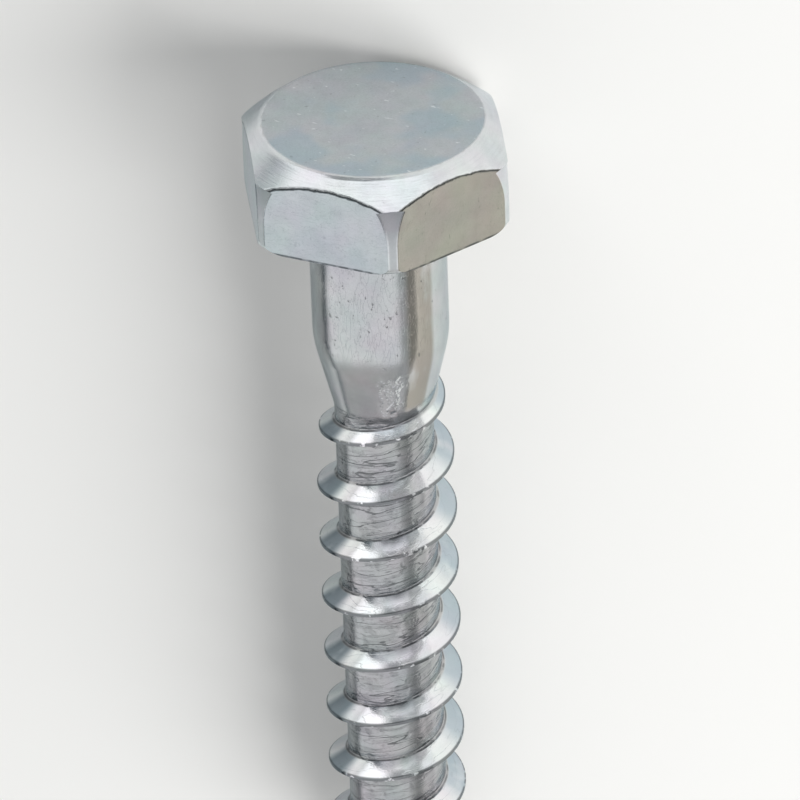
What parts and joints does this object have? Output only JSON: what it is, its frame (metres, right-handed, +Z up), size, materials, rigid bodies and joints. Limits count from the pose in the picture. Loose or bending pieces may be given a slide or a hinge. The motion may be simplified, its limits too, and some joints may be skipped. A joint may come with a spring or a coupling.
{
  "type": "lag screw",
  "caption": "Hexagon head wood screw with a plain shank, a tapered neck, a coarse right-hand thread and a gimlet point.",
  "frame": {"origin": "centre of the screw's bounding box, on the table it lies on", "axes": "+Z up, +X from the head towards the point; the screw lies on one flat of its head and on its thread, so its axis slopes down 4.6 degrees towards the point"},
  "size_m": [0.067, 0.0192, 0.0175],
  "materials": {
    "zinc_plated_steel": "bright zinc plate on a cold-forged head and a rolled thread"
  },
  "bodies": {
    "root": {"lag_screw": "zinc_plated_steel"}
  },
  "joints": []
}
